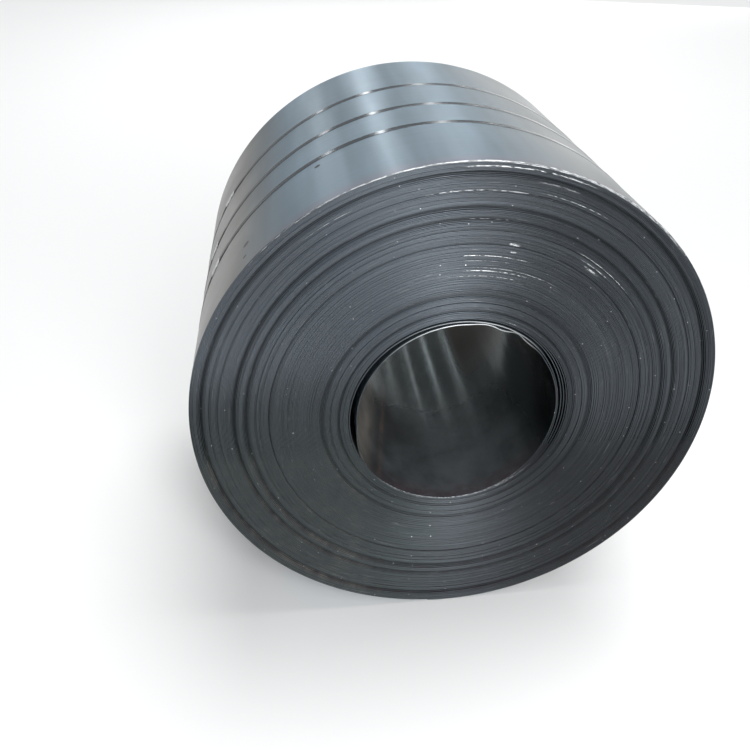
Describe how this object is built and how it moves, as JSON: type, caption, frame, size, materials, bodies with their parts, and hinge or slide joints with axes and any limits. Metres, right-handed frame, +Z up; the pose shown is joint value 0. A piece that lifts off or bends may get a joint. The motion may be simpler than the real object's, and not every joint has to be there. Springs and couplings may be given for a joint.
{
  "type": "steel coil",
  "caption": "Coil of hot-rolled steel strip lying on its side, with visible turns on its ends, a loose innermost turn in its bore, and circumferential steel straps closed by crimped seals.",
  "frame": {"origin": "on the floor under the middle of the coil", "axes": "+Z up, +Y along the axis of the coil from the front end to the rear end, +X to the right seen from the front"},
  "size_m": [1.852, 1.368, 1.852],
  "materials": {
    "mill_scale_steel": "hot-rolled strip with blue-grey mill scale, satin, with sheared edges on the ends",
    "strapping_steel": "blued steel strapping, dark, satin, with a little rust",
    "seal_steel": "folded and crimped sheet, worn bright at its edges"
  },
  "bodies": {
    "root": {"coil": "mill_scale_steel", "strap_front": "strapping_steel", "strap_middle": "strapping_steel", "strap_rear": "strapping_steel", "seal_front": "seal_steel", "seal_middle": "seal_steel", "seal_rear": "seal_steel"}
  },
  "joints": []
}
